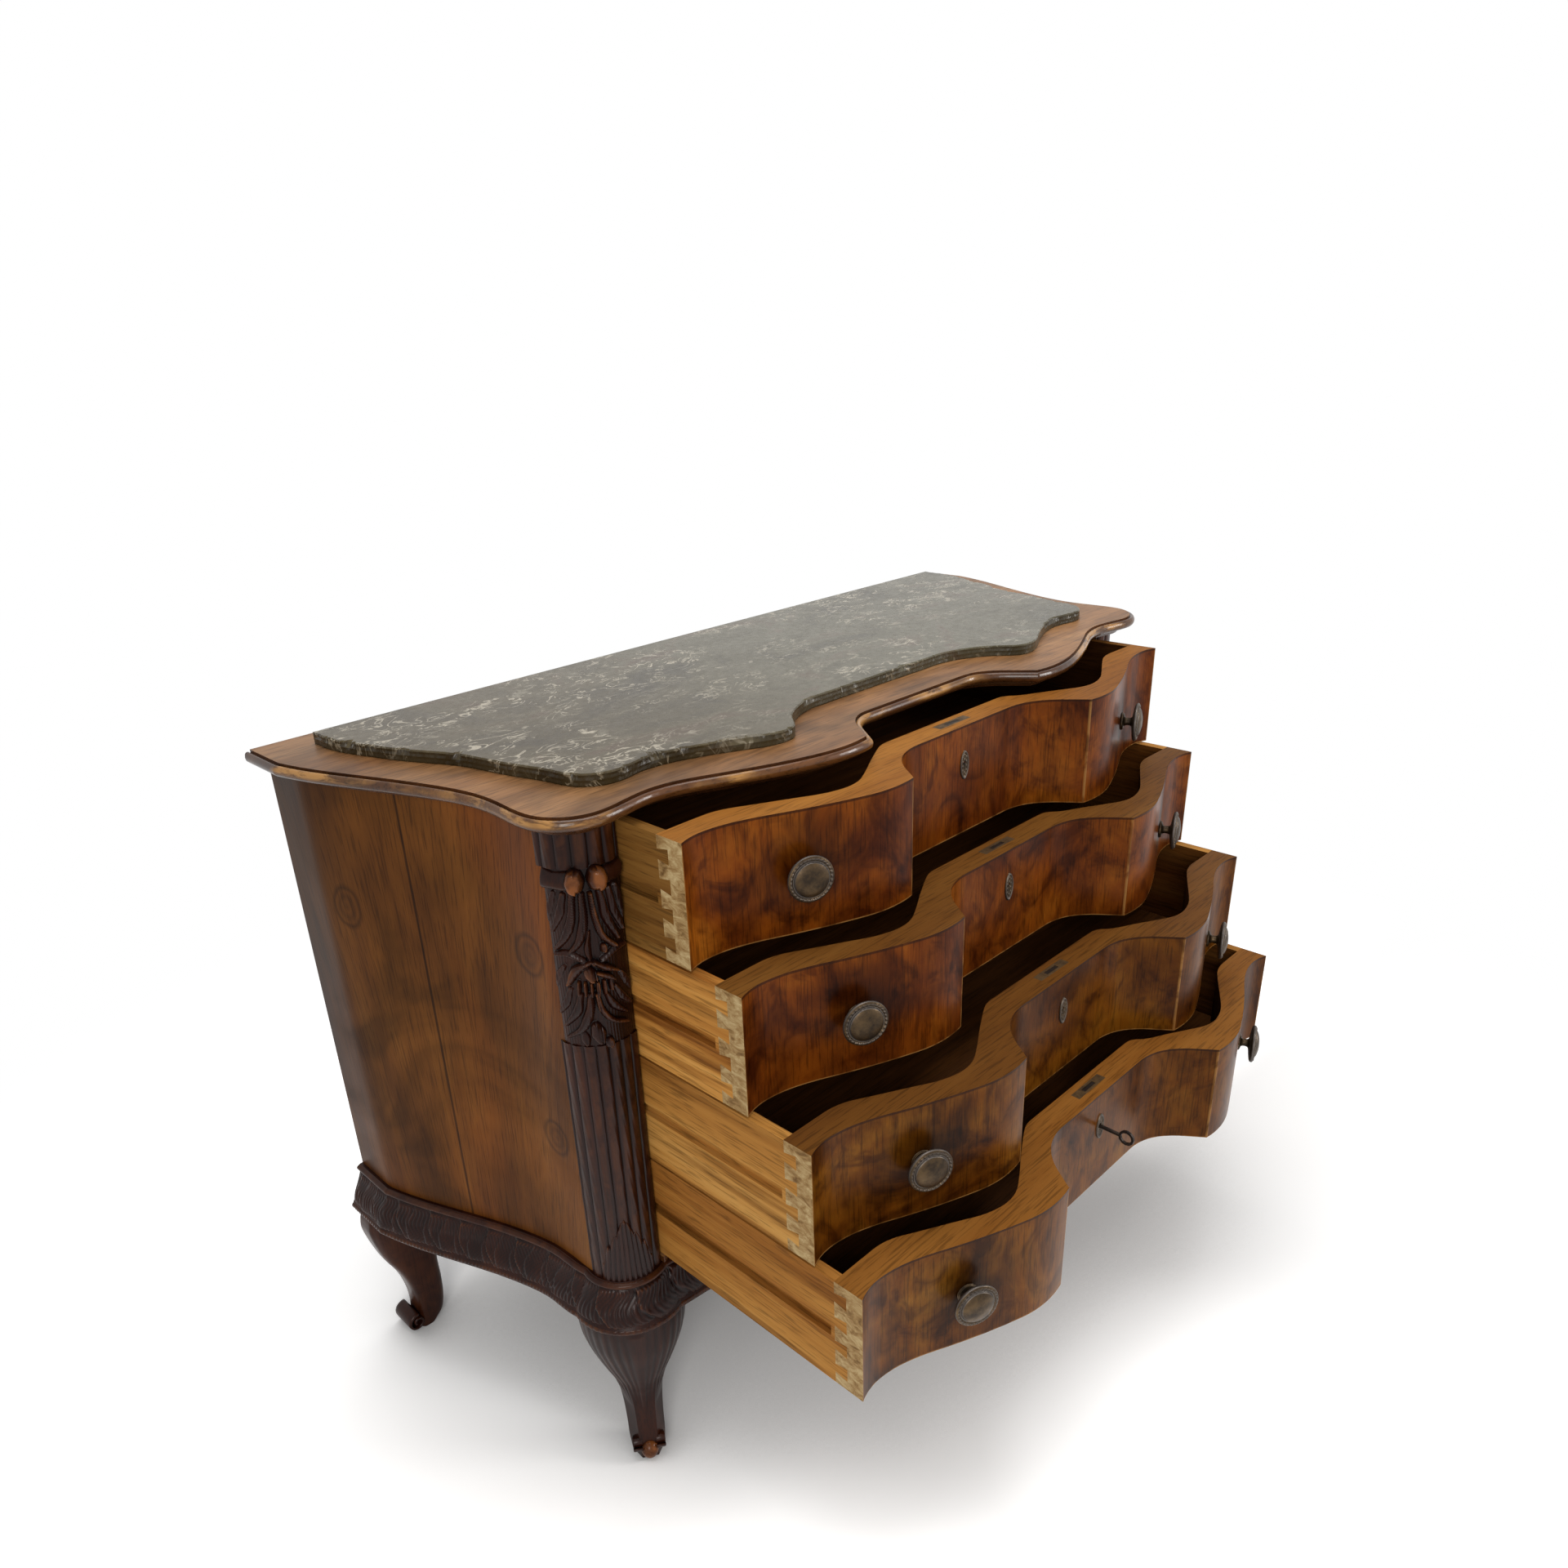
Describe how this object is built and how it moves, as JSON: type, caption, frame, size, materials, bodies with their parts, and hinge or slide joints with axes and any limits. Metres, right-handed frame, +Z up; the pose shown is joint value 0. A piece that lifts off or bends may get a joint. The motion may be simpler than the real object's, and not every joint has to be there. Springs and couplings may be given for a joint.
{
  "type": "serpentine chest of drawers",
  "caption": "Serpentine-front walnut chest with stacked sliding drawers, carved corner posts, cabriole legs, turned metal knobs, locks and a loose marble slab.",
  "frame": {"origin": "on the floor, midway between the sides and midway between the back and the front of the closed carcass", "axes": "+X to the chest's own left as it is seen from behind (the viewer's right from the front), -Y out of the front, +Z up"},
  "size_m": [1.2662, 0.8218, 0.89],
  "materials": {
    "marble": "honed grey-green fossil marble, opaque",
    "walnut_top": "polished walnut",
    "walnut_side": "polished walnut veneer",
    "burl_walnut": "polished figured walnut veneer",
    "carved_walnut": "dark stained carved wood",
    "drawer_wood": "bare softwood",
    "inner_wood": "bare aged softwood",
    "bronze": "dark patina",
    "iron": "worn iron"
  },
  "bodies": {
    "root": {"marble_slab": "marble", "top_board": "walnut_top", "cornice_board": "walnut_top", "side_panel_left": "walnut_side", "side_panel_right": "walnut_side", "inner_side_left": "inner_wood", "inner_side_right": "inner_wood", "back_panel": "inner_wood", "corner_post_left": "carved_walnut", "corner_post_right": "carved_walnut", "carving_left": "carved_walnut", "carving_right": "carved_walnut", "rear_post_left": "walnut_side", "rear_post_right": "walnut_side", "bottom_board": "inner_wood", "bottom_rail": "walnut_top", "base_moulding": "carved_walnut", "leg_front_left": "carved_walnut", "leg_front_right": "carved_walnut", "leg_rear_left": "carved_walnut", "leg_rear_right": "carved_walnut", "runners_left": "inner_wood", "runners_right": "inner_wood"},
    "drawer_1": {"drawer_1_front": "burl_walnut", "drawer_1_side_left": "drawer_wood", "drawer_1_side_right": "drawer_wood", "drawer_1_back": "drawer_wood", "drawer_1_bottom": "drawer_wood", "drawer_1_knobs": "bronze", "drawer_1_escutcheon": "bronze", "drawer_1_lock": "iron"},
    "bolt_1": {"drawer_1_bolt": "iron"},
    "drawer_2": {"drawer_2_front": "burl_walnut", "drawer_2_side_left": "drawer_wood", "drawer_2_side_right": "drawer_wood", "drawer_2_back": "drawer_wood", "drawer_2_bottom": "drawer_wood", "drawer_2_knobs": "bronze", "drawer_2_escutcheon": "bronze", "drawer_2_lock": "iron"},
    "bolt_2": {"drawer_2_bolt": "iron"},
    "drawer_3": {"drawer_3_front": "burl_walnut", "drawer_3_side_left": "drawer_wood", "drawer_3_side_right": "drawer_wood", "drawer_3_back": "drawer_wood", "drawer_3_bottom": "drawer_wood", "drawer_3_knobs": "bronze", "drawer_3_escutcheon": "bronze", "drawer_3_lock": "iron"},
    "bolt_3": {"drawer_3_bolt": "iron"},
    "drawer_4": {"drawer_4_front": "burl_walnut", "drawer_4_side_left": "drawer_wood", "drawer_4_side_right": "drawer_wood", "drawer_4_back": "drawer_wood", "drawer_4_bottom": "drawer_wood", "drawer_4_knobs": "bronze", "drawer_4_escutcheon": "bronze", "drawer_4_lock": "iron"},
    "bolt_4": {"drawer_4_bolt": "iron"},
    "key": {"key": "iron"}
  },
  "joints": [
    {"name": "drawer_1_slide", "type": "slide", "parent": "root", "child": "drawer_1", "axis": [0, -1, 0], "range_m": [-0.0905, 0.2495]},
    {"name": "drawer_2_slide", "type": "slide", "parent": "root", "child": "drawer_2", "axis": [0, -1, 0], "range_m": [-0.161, 0.179]},
    {"name": "drawer_3_slide", "type": "slide", "parent": "root", "child": "drawer_3", "axis": [0, -1, 0], "range_m": [-0.246, 0.094]},
    {"name": "drawer_4_slide", "type": "slide", "parent": "root", "child": "drawer_4", "axis": [0, -1, 0], "range_m": [-0.308, 0.032]},
    {"name": "bolt_1_slide", "type": "slide", "parent": "drawer_1", "child": "bolt_1", "axis": [0, 0, 1], "range_m": [0, 0.008]},
    {"name": "bolt_2_slide", "type": "slide", "parent": "drawer_2", "child": "bolt_2", "axis": [0, 0, 1], "range_m": [0, 0.008]},
    {"name": "bolt_3_slide", "type": "slide", "parent": "drawer_3", "child": "bolt_3", "axis": [0, 0, 1], "range_m": [0, 0.008]},
    {"name": "bolt_4_slide", "type": "slide", "parent": "drawer_4", "child": "bolt_4", "axis": [0, 0, 1], "range_m": [0, 0.008]},
    {"name": "key_turn", "type": "hinge", "parent": "drawer_4", "child": "key", "pos_m": [0, -0.4965, 0.379], "axis": [0, 1, 0], "range_deg": [0, 360]}
  ],
  "couplings": [
    {"joint": "key_turn", "follows": "bolt_4_slide", "rad_per_m": 785.4}
  ]
}
